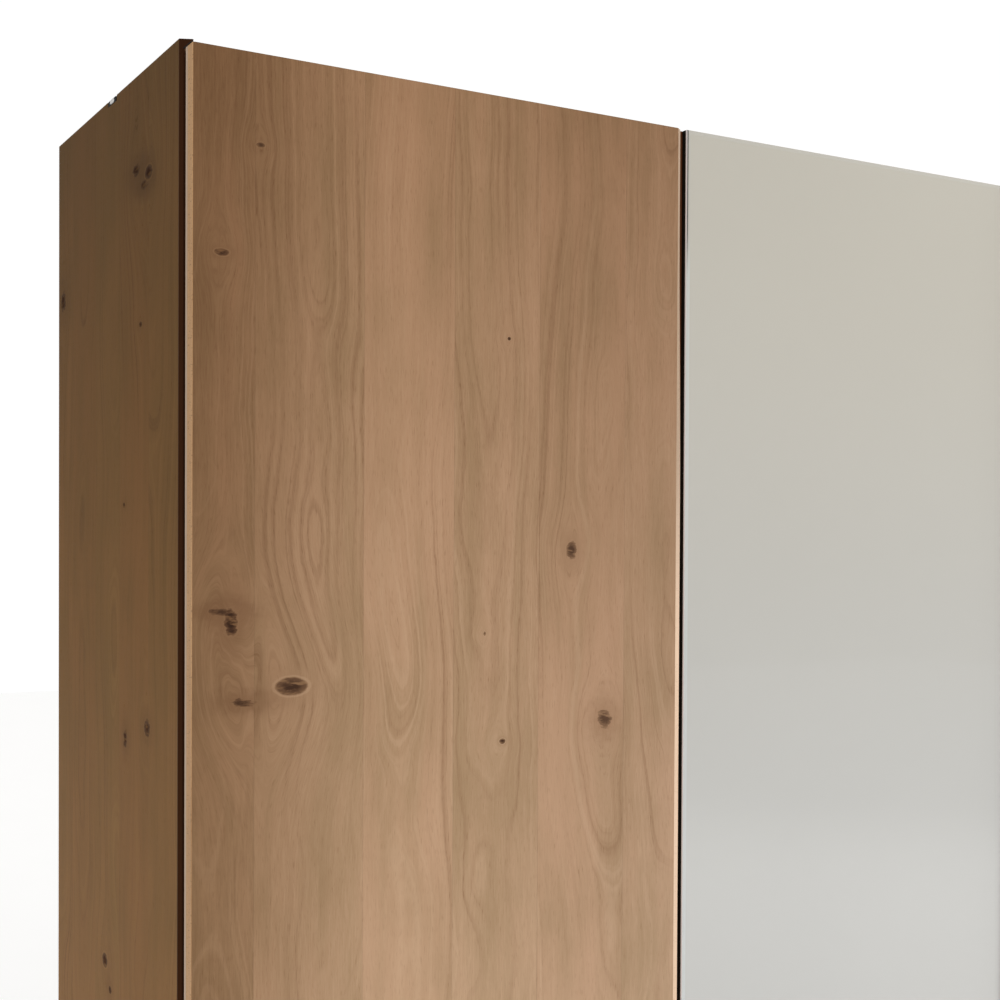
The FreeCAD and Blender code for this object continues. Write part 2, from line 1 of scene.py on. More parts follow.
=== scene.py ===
"""Looks of the sliding door wardrobe: materials, detail pieces, stage, lights and camera.

Everything is in metres, in the frame of the CAD model: +Z up, +X to the right, the doors face -Y.
"""
import json
import math

import bmesh
import bpy
from mathutils import Matrix, Vector


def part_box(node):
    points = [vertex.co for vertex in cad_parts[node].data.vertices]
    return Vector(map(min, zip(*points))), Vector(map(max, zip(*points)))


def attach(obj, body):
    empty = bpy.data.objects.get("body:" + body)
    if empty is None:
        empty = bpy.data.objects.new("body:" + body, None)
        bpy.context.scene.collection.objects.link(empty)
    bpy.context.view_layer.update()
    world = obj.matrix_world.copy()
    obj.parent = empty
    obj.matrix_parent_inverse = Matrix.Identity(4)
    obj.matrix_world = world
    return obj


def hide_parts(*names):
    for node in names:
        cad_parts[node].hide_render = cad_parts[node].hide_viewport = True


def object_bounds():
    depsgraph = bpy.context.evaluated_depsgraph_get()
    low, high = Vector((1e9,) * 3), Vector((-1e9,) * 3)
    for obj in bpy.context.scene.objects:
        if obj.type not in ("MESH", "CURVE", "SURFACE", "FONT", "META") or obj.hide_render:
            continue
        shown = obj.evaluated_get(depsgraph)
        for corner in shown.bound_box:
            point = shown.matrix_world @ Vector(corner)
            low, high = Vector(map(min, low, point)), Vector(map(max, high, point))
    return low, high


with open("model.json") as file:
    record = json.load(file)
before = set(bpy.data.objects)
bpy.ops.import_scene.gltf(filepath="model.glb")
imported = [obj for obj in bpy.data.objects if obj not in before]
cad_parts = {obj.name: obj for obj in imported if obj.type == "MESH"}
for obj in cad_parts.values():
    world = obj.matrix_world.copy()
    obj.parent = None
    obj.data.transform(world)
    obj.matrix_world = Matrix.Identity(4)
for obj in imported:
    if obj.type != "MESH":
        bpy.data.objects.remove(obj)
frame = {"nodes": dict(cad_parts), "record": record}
cad_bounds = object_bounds()

LOW = Vector(cad_bounds[0])
HIGH = Vector(cad_bounds[1])
MM = 0.001

# the pale strip along the back of a carrier board's edge
BAND_LINE = 7 * MM
# the ground border of a glass sheet
FACET_WIDTH = 6 * MM
FACET_DEPTH = 0.7 * MM
# the painted black reflection at the very edge of the glass ends between these heights, where the painted
# highlight of the ground border grows
RIM_REFLECTION_ABOVE = 2.02
RIM_REFLECTION_GONE_BELOW = 1.92
# the middle of the trunk meets the face above the boards, so the arches of the figure point down
HEART_HEIGHT = 2.2
# the painted shade of upright boards changes slowly from this height to the top of the case
PAINTED_SHADE_START = 0.75


# ---------------------------------------------------------------- node helper

class Net:
    """A small hand for writing shader nodes as expressions: every method returns an output socket."""

    def __init__(self, name):
        self.material = bpy.data.materials.new(name)
        self.material.use_nodes = True
        self.tree = self.material.node_tree
        self.tree.nodes.clear()
        self.output = self.tree.nodes.new("ShaderNodeOutputMaterial")
        self.shader = self.tree.nodes.new("ShaderNodeBsdfPrincipled")
        self.tree.links.new(self.shader.outputs[0], self.output.inputs[0])

    def feed(self, socket, value):
        if isinstance(value, bpy.types.NodeSocket):
            self.tree.links.new(value, socket)
        elif isinstance(value, (tuple, list)) and len(value) == 3 and len(socket.default_value) == 4:
            socket.default_value = (*value, 1.0)
        else:
            socket.default_value = value

    def add(self, kind, settings=None, **inputs):
        item = self.tree.nodes.new(kind)
        for key, value in (settings or {}).items():
            setattr(item, key, value)
        for key, value in inputs.items():
            self.feed(item.inputs[key.replace("_", " ")], value)
        return item

    def math(self, operation, *values):
        item = self.tree.nodes.new("ShaderNodeMath")
        item.operation = operation
        for socket, value in zip(item.inputs, values):
            self.feed(socket, value)
        return item.outputs[0]

    def plus(self, *values):
        total = values[0]
        for value in values[1:]:
            total = self.math("ADD", total, value)
        return total

    def times(self, first, second):
        return self.math("MULTIPLY", first, second)

    def fit(self, value, low, high, to_low=0.0, to_high=1.0, smooth=True):
        """Map low..high to to_low..to_high, held at both ends."""
        item = self.tree.nodes.new("ShaderNodeMapRange")
        item.interpolation_type = "SMOOTHSTEP" if smooth else "LINEAR"
        item.clamp = True
        for socket, part in zip(item.inputs, (value, low, high, to_low, to_high)):
            self.feed(socket, part)
        return item.outputs[0]

    def place(self):
        """Object coordinates as three separate sockets."""
        texture = self.tree.nodes.new("ShaderNodeTexCoord")
        split = self.tree.nodes.new("ShaderNodeSeparateXYZ")
        self.tree.links.new(texture.outputs["Object"], split.inputs[0])
        return split.outputs[0], split.outputs[1], split.outputs[2]

    def vector(self, x, y, z):
        item = self.tree.nodes.new("ShaderNodeCombineXYZ")
        for socket, value in zip(item.inputs, (x, y, z)):
            self.feed(socket, value)
        return item.outputs[0]

    def noise(self, vector, scale=1.0, detail=2.0, roughness=0.5):
        item = self.add("ShaderNodeTexNoise", {"noise_dimensions": "3D"}, Vector=vector, Scale=scale,
                        Detail=detail, Roughness=roughness)
        return item.outputs[0]

    def chance(self, value):
        """A steady random number from 0 to 1 for each whole value."""
        item = self.add("ShaderNodeTexWhiteNoise", {"noise_dimensions": "1D"}, W=value)
        return item.outputs[0]

    def ramp(self, value, *stops):
        item = self.tree.nodes.new("ShaderNodeValToRGB")
        self.feed(item.inputs[0], value)
        elements = item.color_ramp.elements
        while len(elements) < len(stops):
            elements.new(0.5)
        for element, (position, colour) in zip(elements, stops):
            element.position = position
            element.color = (*colour, 1.0)
        return item.outputs[0]

    def mix(self, factor, first, second, blend="MIX"):
        item = self.tree.nodes.new("ShaderNodeMix")
        item.data_type = "RGBA"
        item.blend_type = blend
        self.feed(item.inputs[0], factor)
        self.feed(item.inputs[6], first)
        self.feed(item.inputs[7], second)
        return item.outputs[2]

    def surface(self, colour, roughness, bumps=(), **uniform):
        """Colour and roughness may be sockets or values; bumps is a list of (height, strength, distance)."""
        self.feed(self.shader.inputs["Base Color"], colour)
        self.feed(self.shader.inputs["Roughness"], roughness)
        for key, value in uniform.items():
            self.feed(self.shader.inputs[key.replace("_", " ")], value)
        normal = None
        for height, strength, distance in bumps:
            bump = self.add("ShaderNodeBump", Height=height, Strength=strength, Distance=distance)
            if normal is not None:
                self.tree.links.new(normal, bump.inputs["Normal"])
            normal = bump.outputs[0]
        if normal is not None:
            self.tree.links.new(normal, self.shader.inputs["Normal"])
        return self.material


# ---------------------------------------------------------------- wood

class Oak:
    """Tones of one kind of oak: the dark line of a ring, two hues of the wood, pale streaks, knots."""

    def __init__(self, dark, olive, rosy, pale, knot):
        self.dark = dark
        self.olive = olive
        self.rosy = rosy
        self.pale = pale
        self.knot = knot


FACE_OAK = Oak((0.205, 0.098, 0.042), (0.352, 0.222, 0.118), (0.455, 0.272, 0.158), (0.530, 0.350, 0.215),
               (0.040, 0.016, 0.008))
# the sides' oak is the face oak made darker: painted shade on the sides
SHADED_SIDE_OAK = Oak((0.092, 0.042, 0.014), (0.168, 0.092, 0.030), (0.208, 0.101, 0.036), (0.240, 0.136, 0.049),
               (0.034, 0.010, 0.003))


def plank_oak(name, tones, across_axis, boards, knots, seed, shade=None, sheen=0.22):
    """Knotty oak laid as upright staves.

    across_axis is the coordinate that runs across the staves. boards are (start, lightness, rosiness), the
    last two about 0. knots are (across, height, half width, half height, darkness, raggedness). shade is an
    optional function of the net and the coordinates that gives a colour factor of painted light and shade.
    """
    net = Net(name)
    x, y, z = net.place()
    across, inward = (x, y) if across_axis == "x" else (y, x)

    # each knot pushes the grain aside, further along the stave than across it
    grain = across
    uneven = net.noise(net.vector(net.times(across, 60.0), seed, net.times(z, 130.0)), 1.0, 3.0, 0.6)
    uneven = net.math("SUBTRACT", uneven, 0.5)
    knot_mask = 0.0
    knot_core = 0.0
    collar = 0.0
    halo = 0.0
    lively = 0.0
    plain = 0.0
    for at_across, at_height, wide, tall, darkness, ragged in knots:
        away = net.math("SUBTRACT", across, at_across)
        rise = net.math("SUBTRACT", z, at_height)
        size = max(wide, tall)
        smooth = max(0.0, 1.0 - ragged)
        push = size * (2.0 + 2.0 * smooth)
        beside = net.plus(away, 2.2 * wide * smooth)
        squares = net.plus(net.times(net.times(beside, beside), 0.5 / (push * 1.25) ** 2),
                           net.times(net.times(rise, rise), 0.5 / (3.4 * size) ** 2))
        reach = net.math("EXPONENT", net.times(squares, -1.0))
        turn = net.math("DIVIDE", beside, net.plus(net.math("ABSOLUTE", beside), size * 0.6))
        grain = net.math("SUBTRACT", grain, net.times(net.times(turn, reach), push))
        across_share = net.times(away, 1.0 / wide)
        along_share = net.times(rise, 1.0 / tall)
        span = net.math("SQRT", net.plus(net.times(across_share, across_share),
                                         net.times(along_share, along_share)))
        span = net.plus(span, net.times(uneven, ragged))
        halo = net.plus(halo, net.times(net.math("EXPONENT", net.times(net.times(span, span), -0.10)),
                                        darkness * (0.35 + 0.4 * ragged)))
        knot_mask = net.math("MAXIMUM", knot_mask, net.times(net.fit(span, 1.08, 0.86), darkness))
        knot_core = net.math("MAXIMUM", knot_core, net.times(net.fit(span, 0.85, 0.30), darkness))
        ring = net.times(net.fit(span, 1.00, 1.08), net.fit(span, 1.32, 1.18))
        collar = net.math("MAXIMUM", collar, net.times(ring, max(0.0, 1.0 - 0.6 * ragged) * darkness))
        lively = net.math("MAXIMUM", lively, net.times(reach, 1.4 * smooth + 0.2))
        plain = net.math("MAXIMUM", plain, net.fit(span, 2.6, 1.3))

    # staves: a running number, the middle, lightness and hue of the stave, the distance to the nearest seam
    number = 0.0
    middle = (boards[0][0] + boards[1][0]) / 2
    board = boards[0][1]
    rosiness = boards[0][2]
    seam_distance = 1.0
    for index in range(1, len(boards)):
        start, lightness, rosy = boards[index]
        before, lightness_before, rosy_before = boards[index - 1]
        after = boards[index + 1][0] if index + 1 < len(boards) else start + 0.13
        passed = net.math("GREATER_THAN", across, start)
        number = net.plus(passed, number)
        middle = net.plus(net.times(passed, (after - before) / 2), middle)
        board = net.plus(net.times(passed, lightness - lightness_before), board)
        rosiness = net.plus(net.times(passed, rosy - rosy_before), rosiness)
        seam_distance = net.math("MINIMUM", seam_distance,
                                 net.math("ABSOLUTE", net.math("SUBTRACT", across, start)))
    first = net.chance(net.plus(number, seed + 0.13))
    second = net.chance(net.plus(number, seed + 17.71))
    third = net.chance(net.plus(number, seed + 41.37))
    shift = net.times(second, 37.0)

    # the sawn face cuts a slightly bent trunk: its heart wanders sideways and in depth along the stave
    local = net.math("SUBTRACT", grain, middle)
    wander = net.noise(net.vector(net.plus(shift, 3.0), net.times(z, 1.6), seed), 1.0, 1.0)
    off_heart = net.plus(local, net.times(net.math("SUBTRACT", first, 0.5), 0.15),
                         net.times(net.math("SUBTRACT", wander, 0.5), 0.10))
    bend = net.noise(net.vector(shift, net.times(z, 2.3), net.times(grain, 4.0)), 1.0, 2.0, 0.5)
    depth = net.plus(net.times(net.math("SUBTRACT", z, net.plus(net.times(third, 0.5), HEART_HEIGHT)), 0.035),
                     net.times(net.math("SUBTRACT", bend, 0.5), 0.150))
    radius = net.math("SQRT", net.plus(net.times(off_heart, off_heart), net.times(depth, depth), 0.00003))
    ripple = net.noise(net.vector(net.times(grain, 60.0), net.plus(net.times(z, 24.0), shift), seed),
                       1.0, 3.0, 0.6)
    radius = net.plus(radius, net.times(net.math("SUBTRACT", ripple, 0.5), 0.0046))

    # growth lines are uneven: some years are strong, most hardly show, and whole patches are plain
    years = net.noise(net.vector(net.times(radius, 190.0), shift, net.times(z, 0.4)), 1.0, 2.0, 0.6)
    lines = net.fit(years, 0.50, 0.72)
    gleam = net.fit(years, 0.47, 0.30)
    patches = net.noise(net.vector(net.times(across, 9.0), seed, net.plus(net.times(z, 2.0), shift)),
                        1.0, 1.0)
    figured = net.math("MAXIMUM", net.fit(patches, 0.34, 0.62, 0.25, 1.0), lively)
    figured = net.times(figured, net.math("SUBTRACT", 1.0, net.times(plain, 0.85)))
    lines = net.times(lines, figured)
    gleam = net.times(gleam, figured)

    fibre = net.noise(net.vector(net.times(grain, 420.0), net.times(inward, 420.0), net.times(z, 26.0)),
                      1.0, 3.0, 0.7)
    streak = net.noise(net.vector(net.times(grain, 42.0), net.times(inward, 42.0),
                                  net.plus(net.times(z, 2.0), shift)), 1.0, 3.0, 0.5)
    cloud = net.noise(net.vector(net.times(across, 8.0), net.times(inward, 8.0),
                                 net.plus(net.times(z, 4.0), shift)), 1.0, 3.0, 0.55)
    pore_field = net.noise(net.vector(net.times(grain, 900.0), net.times(inward, 900.0), net.times(z, 75.0)),
                           1.0, 1.0)
    pores = net.times(net.fit(pore_field, 0.58, 0.72), net.plus(net.times(lines, 0.6), 0.4))

    hue = net.fit(net.plus(net.times(streak, 0.45), net.times(cloud, 0.75), rosiness), 0.34, 0.90)
    colour = net.mix(hue, tones.olive, tones.rosy)
    light = net.plus(net.times(fibre, 0.42), net.times(streak, 0.14), net.times(cloud, 0.24), board, -0.23)
    colour = net.mix(net.fit(light, 0.10, 0.52, 0.0, 0.9), colour, tones.pale)
    colour = net.mix(net.fit(light, 0.14, -0.16, 0.0, 0.6), colour, tones.dark)
    colour = net.mix(net.times(gleam, 0.34), colour, tones.pale)
    colour = net.mix(net.times(lines, 0.36), colour, tones.dark)
    colour = net.mix(net.times(pores, 0.50), colour, tones.dark)
    colour = net.mix(net.fit(halo, 0.05, 1.1, 0.0, 0.45), colour, tones.dark)
    colour = net.mix(net.times(collar, 0.62), colour, tones.pale)
    cracks = net.fit(net.noise(net.vector(net.times(across, 55.0), seed, net.times(z, 210.0)), 1.0, 3.0),
                     0.46, 0.66)
    inner = net.mix(cracks, net.mix(0.5, tones.dark, tones.knot), net.mix(0.35, tones.dark, tones.olive))
    colour = net.mix(knot_mask, colour, inner)
    solid = net.times(knot_core, net.math("SUBTRACT", 1.0, cracks))
    colour = net.mix(net.times(solid, 0.9), colour, tones.knot)
    seam = net.fit(seam_distance, 0.0010, 0.0002)
    colour = net.mix(net.times(seam, 0.09), colour, tones.knot)
    # painted light and shade multiplied into the wood's colour
    if shade is not None:
        colour = net.mix(1.0, colour, shade(net, across, z), "MULTIPLY")

    gloss = net.plus(0.46, net.times(fibre, 0.16), net.times(pores, 0.2), net.times(knot_core, 0.25))
    relief = net.plus(net.times(lines, -0.4), net.times(pores, -0.8), net.times(seam, -0.8),
                      net.times(knot_core, -1.5))
    return net.surface(colour, gloss, [(relief, 0.30, 0.0004), (fibre, 0.12, 0.0002)], IOR=1.45,
                       Specular_IOR_Level=sheen)


def light_oak(name, tones, flecked=0.6, shaded_above=None):
    """Plain oak for the lippings, with short ticks across.

    Where shaded_above is given, painted shade darkens the wood over a short stretch below that height and
    keeps it dark above it.
    """
    net = Net(name)
    x, y, z = net.place()
    fibre = net.noise(net.vector(net.times(x, 900.0), net.times(y, 900.0), net.times(z, 9.0)), 1.0, 3.0, 0.6)
    cloud = net.noise(net.vector(net.times(x, 60.0), net.times(y, 60.0), net.times(z, 3.0)), 1.0, 2.0)
    ticks = net.noise(net.vector(net.times(x, 160.0), net.times(y, 160.0), net.times(z, 700.0)), 1.0, 2.0)
    pores = net.fit(ticks, 0.58, 0.72)
    tone = net.plus(net.times(fibre, 0.6), net.times(cloud, 0.6), -0.1)
    colour = net.ramp(tone, (0.0, tones.dark), (0.5, tones.rosy), (1.0, tones.pale))
    colour = net.mix(net.times(pores, flecked), colour, tones.knot)
    if shaded_above is not None:
        level = net.fit(z, shaded_above - 0.35, shaded_above, 0.98, 0.60)
        colour = net.mix(1.0, colour, net.vector(level, net.times(level, 0.97), net.times(level, 0.93)),
                         "MULTIPLY")
    return net.surface(colour, net.plus(0.42, net.times(fibre, 0.2)), [(pores, -0.3, 0.0003)], IOR=1.45,
                       Specular_IOR_Level=0.15)


LIPPING_OAK = Oak((0.390, 0.200, 0.080), (0.530, 0.300, 0.135), (0.630, 0.365, 0.180), (0.730, 0.470, 0.245),
                  (0.170, 0.085, 0.040))
# the grip bevel's oak is the lipping oak made paler: a painted highlight on the bevel
LIT_GRIP_OAK = Oak((0.540, 0.380, 0.240), (0.660, 0.490, 0.340), (0.760, 0.570, 0.430), (0.840, 0.660, 0.520),
               (0.300, 0.180, 0.100))


# ---------------------------------------------------------------- boards, plastics, metals, glass

def linen_board(name, base, depth=0.10, banded_before=None):
    """Melamine board with a woven linen print and a faint emboss.

    Where banded_before is given, all in front of that depth wears the tan of an oak edge band instead, and
    the strip behind it a paler one; only the back face shows the print.
    """
    net = Net(name)
    x, y, z = net.place()
    warp = net.noise(net.vector(net.times(net.plus(x, y), 1300.0), net.times(z, 60.0), 1.0), 1.0, 2.0)
    weft = net.noise(net.vector(net.times(net.plus(x, y), 60.0), net.times(z, 1300.0), 5.0), 1.0, 2.0)
    cloud = net.noise(net.vector(net.times(x, 3.0), net.times(y, 3.0), net.times(z, 3.0)), 1.0, 3.0)
    weave = net.plus(net.times(warp, 0.5), net.times(weft, 0.5))
    level = net.plus(net.times(net.math("SUBTRACT", weave, 0.5), depth * 3.0),
                     net.times(net.math("SUBTRACT", cloud, 0.5), depth * 0.6), 1.0)
    if banded_before is not None:
        fibre = net.noise(net.vector(net.times(y, 1500.0), net.times(x, 1500.0), net.times(z, 160.0)),
                          1.0, 2.0)
        tan = net.mix(fibre, (0.34, 0.20, 0.09), (0.56, 0.36, 0.19))
        pale = net.mix(fibre, (0.52, 0.36, 0.25), (0.70, 0.52, 0.38))
        base = net.mix(net.math("LESS_THAN", y, banded_before + BAND_LINE - 0.5 * MM), base, pale)
        base = net.mix(net.math("LESS_THAN", y, banded_before), base, tan)
    colour = net.mix(1.0, base, net.vector(level, level, level), "MULTIPLY")
    return net.surface(colour, net.plus(0.48, net.times(weave, 0.16)), [(weave, 0.12, 0.0002)],
                       Specular_IOR_Level=0.25)


def moulded(name, base, roughness=0.45, grain=1.0, sheen=0.4):
    """Injection-moulded plastic with a fine spark-eroded grain and slight handling marks."""
    net = Net(name)
    x, y, z = net.place()
    spot = net.vector(x, y, z)
    grain_field = net.noise(spot, 2600.0, 2.0)
    marks = net.noise(spot, 34.0, 4.0, 0.6)
    level = net.plus(net.times(net.math("SUBTRACT", marks, 0.5), 0.16), 1.0)
    colour = net.mix(1.0, base, net.vector(level, level, level), "MULTIPLY")
    return net.surface(colour, net.plus(roughness - 0.08, net.times(marks, 0.16)),
                       [(grain_field, 0.10 * grain, 0.0002)], Specular_IOR_Level=sheen)


def metal(name, base, roughness=0.32, brush="x", streak=0.10, tint=0.06):
    """Drawn or brushed metal with fine lines along one axis."""
    net = Net(name)
    x, y, z = net.place()
    scales = {axis: (14.0 if axis == brush else 1500.0) for axis in "xyz"}
    stretched = net.vector(net.times(x, scales["x"]), net.times(y, scales["y"]), net.times(z, scales["z"]))
    lines = net.noise(stretched, 1.0, 2.0, 0.6)
    smudge = net.noise(net.vector(x, y, z), 18.0, 4.0, 0.6)
    level = net.plus(net.times(net.math("SUBTRACT", smudge, 0.5), tint * 2.0),
                     net.times(net.math("SUBTRACT", lines, 0.5), tint), 1.0)
    colour = net.mix(1.0, base, net.vector(level, level, level), "MULTIPLY")
    rough = net.plus(roughness - streak, net.times(lines, streak), net.times(smudge, streak))
    return net.surface(colour, rough, [(lines, 0.10, 0.0001)], Metallic=1.0)


def lacquered_glass(name, low, high):
    """Clear float glass with pebble-grey lacquer on its back, low and high being the sheet's corners.

    A smooth clear layer lies over a soft colour, made darker and warmer towards the top as painted shade. The
    ground border has the glass's own bluish tint with a painted highlight, and near the top its outermost
    line is a painted black reflection.
    """
    net = Net(name)
    x, y, z = net.place()
    cloud = net.noise(net.vector(x, y, z), 2.2, 3.0)
    dust = net.noise(net.vector(x, y, z), 900.0, 2.0)
    # painted shade: the lacquer's colour gets darker and warmer towards the top
    height = net.fit(z, 0.9, HIGH.z)
    colour = net.ramp(height, (0.0, (0.462, 0.463, 0.450)), (1.0, (0.448, 0.424, 0.366)))
    level = net.plus(net.times(net.math("SUBTRACT", cloud, 0.5), 0.05), 1.0)
    colour = net.mix(1.0, colour, net.vector(level, level, level), "MULTIPLY")
    from_side = net.math("MINIMUM", net.math("SUBTRACT", x, low[0]), net.math("SUBTRACT", high[0], x))
    from_end = net.math("MINIMUM", net.math("SUBTRACT", z, low[2]), net.math("SUBTRACT", high[2], z))
    inset = net.math("MINIMUM", from_side, from_end)
    # painted highlight on the ground border over the glass's own bluish tint, weaker near the top
    border = net.fit(inset, FACET_WIDTH + 0.0004, FACET_WIDTH - 0.0004)
    lit = net.fit(z, RIM_REFLECTION_ABOVE, RIM_REFLECTION_GONE_BELOW)
    colour = net.mix(net.times(border, net.fit(lit, 0.0, 1.0, 0.10, 0.42)), colour, (0.60, 0.64, 0.65))
    # painted black reflection on the outermost line of the side edges near the top
    rim = net.times(net.fit(from_side, 0.0030, 0.0020), net.math("SUBTRACT", 1.0, lit))
    colour = net.mix(net.times(rim, 0.88), colour, (0.035, 0.030, 0.028))
    return net.surface(colour, net.plus(0.16, net.times(dust, 0.05)), [(cloud, 0.02, 0.002)], IOR=1.5,
                       Coat_Weight=1.0, Coat_Roughness=0.02, Coat_IOR=1.5)


def polished_edge(name, base, glow):
    """The polished edge of a glass sheet; its emission is a painted glow for the light gathered inside the
    sheet.
    """
    net = Net(name)
    x, y, z = net.place()
    ground = net.noise(net.vector(net.times(x, 400.0), net.times(y, 1800.0), net.times(z, 60.0)), 1.0, 2.0)
    level = net.plus(net.times(net.math("SUBTRACT", ground, 0.5), 0.16), 1.0)
    colour = net.mix(1.0, base, net.vector(level, level, level), "MULTIPLY")
    return net.surface(colour, net.plus(0.18, net.times(ground, 0.08)), [(ground, 0.05, 0.0001)],
                       Emission_Color=base, Emission_Strength=glow)


def hardboard(name, base):
    """Painted hardboard back: fine fibre mottling."""
    net = Net(name)
    x, y, z = net.place()
    spot = net.vector(x, y, z)
    fibre = net.noise(spot, 420.0, 4.0, 0.7)
    cloud = net.noise(spot, 6.0, 3.0)
    level = net.plus(net.times(net.math("SUBTRACT", fibre, 0.5), 0.22),
                     net.times(net.math("SUBTRACT", cloud, 0.5), 0.10), 1.0)
    colour = net.mix(1.0, base, net.vector(level, level, level), "MULTIPLY")
    return net.surface(colour, net.plus(0.6, net.times(fibre, 0.2)), [(fibre, 0.2, 0.0003)])


# ---------------------------------------------------------------- places taken from the frame

SIDE_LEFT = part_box("side_panel_left")
OAK_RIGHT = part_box("right_oak_panel")
LEAF_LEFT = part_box("left_carrier")
LEAF_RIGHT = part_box("right_carrier")
GLASS_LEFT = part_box("left_glass")
GLASS_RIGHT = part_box("right_glass")

LEFT_EDGE = LEAF_LEFT[0][0]
RIGHT_EDGE = OAK_RIGHT[0][0]
SIDE_EDGE = SIDE_LEFT[0][1]


def staves(start, *boards):
    """boards are (width, lightness, rosiness) from start on; gives (beginning, lightness, rosiness)."""
    laid = []
    for width, lightness, rosiness in boards:
        laid.append((start, lightness, rosiness))
        start += width
    return laid


LEFT_STAVES = staves(LEFT_EDGE, (0.082, -0.11, -0.05), (0.152, 0.04, 0.00), (0.135, -0.01, 0.07),
                     (0.136, 0.03, -0.03), (0.146, -0.04, 0.05), (0.120, 0.02, 0.00))
RIGHT_STAVES = staves(RIGHT_EDGE, (0.120, 0.03, 0.00), (0.142, -0.03, 0.06), (0.128, 0.04, -0.04),
                      (0.150, 0.00, 0.05), (0.131, -0.05, -0.03), (0.090, 0.03, 0.03))
SIDE_STAVES = staves(SIDE_EDGE, (0.118, 0.02, -0.03), (0.132, -0.03, 0.05), (0.121, 0.03, -0.06),
                     (0.126, -0.02, 0.04), (0.096, 0.02, 0.00))

# knots: across, height, half width, half height, darkness, raggedness. Across is the place itself: x on a
# leaf, y on a side.
LEFT_KNOTS = (
    (LEFT_EDGE + 0.133, 1.356, 0.0220, 0.0115, 0.90, 0.25),
    (LEFT_EDGE + 0.051, 1.440, 0.0090, 0.0170, 1.00, 1.45),
    (LEFT_EDGE + 0.038, 1.452, 0.0150, 0.0045, 0.70, 2.40),
    (LEFT_EDGE + 0.038, 1.899, 0.0095, 0.0045, 0.80, 0.80),
    (LEFT_EDGE + 0.089, 2.038, 0.0060, 0.0030, 0.60, 0.80),
    (LEFT_EDGE + 0.560, 1.531, 0.0085, 0.0120, 0.75, 1.40),
    (LEFT_EDGE + 0.618, 1.290, 0.0120, 0.0150, 0.70, 1.90),
    (LEFT_EDGE + 0.447, 1.267, 0.0050, 0.0038, 0.95, 0.40),
    (LEFT_EDGE + 0.067, 1.338, 0.0150, 0.0055, 0.75, 2.20),
    (LEFT_EDGE + 0.418, 1.416, 0.0020, 0.0030, 0.80, 0.30),
    (LEFT_EDGE + 0.455, 1.822, 0.0028, 0.0026, 0.90, 0.30),
    (LEFT_EDGE + 0.300, 0.640, 0.0170, 0.0110, 0.90, 0.30),
    (LEFT_EDGE + 0.620, 0.420, 0.0120, 0.0150, 0.85, 1.60),
)
RIGHT_KNOTS = (
    (RIGHT_EDGE + 0.190, 1.620, 0.0200, 0.0120, 0.90, 0.30),
    (RIGHT_EDGE + 0.520, 1.180, 0.0110, 0.0150, 0.90, 1.60),
    (RIGHT_EDGE + 0.060, 0.820, 0.0090, 0.0120, 0.85, 1.80),
    (RIGHT_EDGE + 0.640, 1.830, 0.0070, 0.0060, 0.80, 0.60),
    (RIGHT_EDGE + 0.330, 0.470, 0.0190, 0.0110, 0.90, 0.30),
    (RIGHT_EDGE + 0.450, 1.960, 0.0045, 0.0040, 0.80, 0.50),
)
SIDE_KNOTS = (
    (-0.127, 2.030, 0.0150, 0.0095, 0.95, 0.80),
    (-0.072, 2.044, 0.0160, 0.0085, 0.80, 1.60),
    (-0.105, 2.016, 0.0170, 0.0060, 0.55, 2.20),
    (-0.092, 1.832, 0.0070, 0.0040, 0.70, 0.80),
    (0.309, 1.919, 0.0140, 0.0160, 0.80, 1.40),
    (-0.124, 1.291, 0.0130, 0.0110, 0.80, 1.20),
    (-0.025, 1.267, 0.0080, 0.0130, 0.80, 1.60),
    (0.073, 0.933, 0.0130, 0.0110, 0.85, 0.50),
    (0.047, 0.896, 0.0070, 0.0060, 0.80, 1.20),
    (-0.018, 1.591, 0.0050, 0.0040, 0.75, 0.60),
    (0.190, 0.520, 0.0120, 0.0100, 0.85, 0.50),
)


# widths over which the painted shade of the left leaf changes: the zone along its outer edge, and the whole
# oak field
OUTER_ZONE = 0.30
FIELD_WIDTH = 0.75


def door_painted_shade(net, across, z):
    """Painted light and shade on the left leaf's veneer: darker towards its outer edge and its top, lighter
    low down.
    """
    sideways = net.fit(across, LEFT_EDGE, LEFT_EDGE + OUTER_ZONE)
    upwards = net.fit(z, PAINTED_SHADE_START, HIGH.z, smooth=False)
    inwards = net.fit(across, LEFT_EDGE + OUTER_ZONE, LEFT_EDGE + FIELD_WIDTH, smooth=False)
    outer = net.mix(sideways, (0.64, 0.57, 0.485), (1.0, 1.0, 1.0))
    right_side = net.mix(upwards, (0.98, 0.99, 1.04), (0.81, 0.79, 0.79))
    inner = net.mix(inwards, (1.0, 1.0, 1.0), right_side)
    top = net.mix(upwards, (1.14, 1.20, 1.28), (0.73, 0.66, 0.60))
    return net.mix(1.0, net.mix(1.0, outer, inner, "MULTIPLY"), top, "MULTIPLY")


def side_painted_shade(net, _, z):
    """Painted light and shade on the sides' veneer: darker towards the top and lighter low down, all along
    the depth.
    """
    upwards = net.fit(z, PAINTED_SHADE_START, HIGH.z, smooth=False)
    return net.mix(upwards, (1.56, 1.47, 1.28), (0.76, 0.71, 0.58))


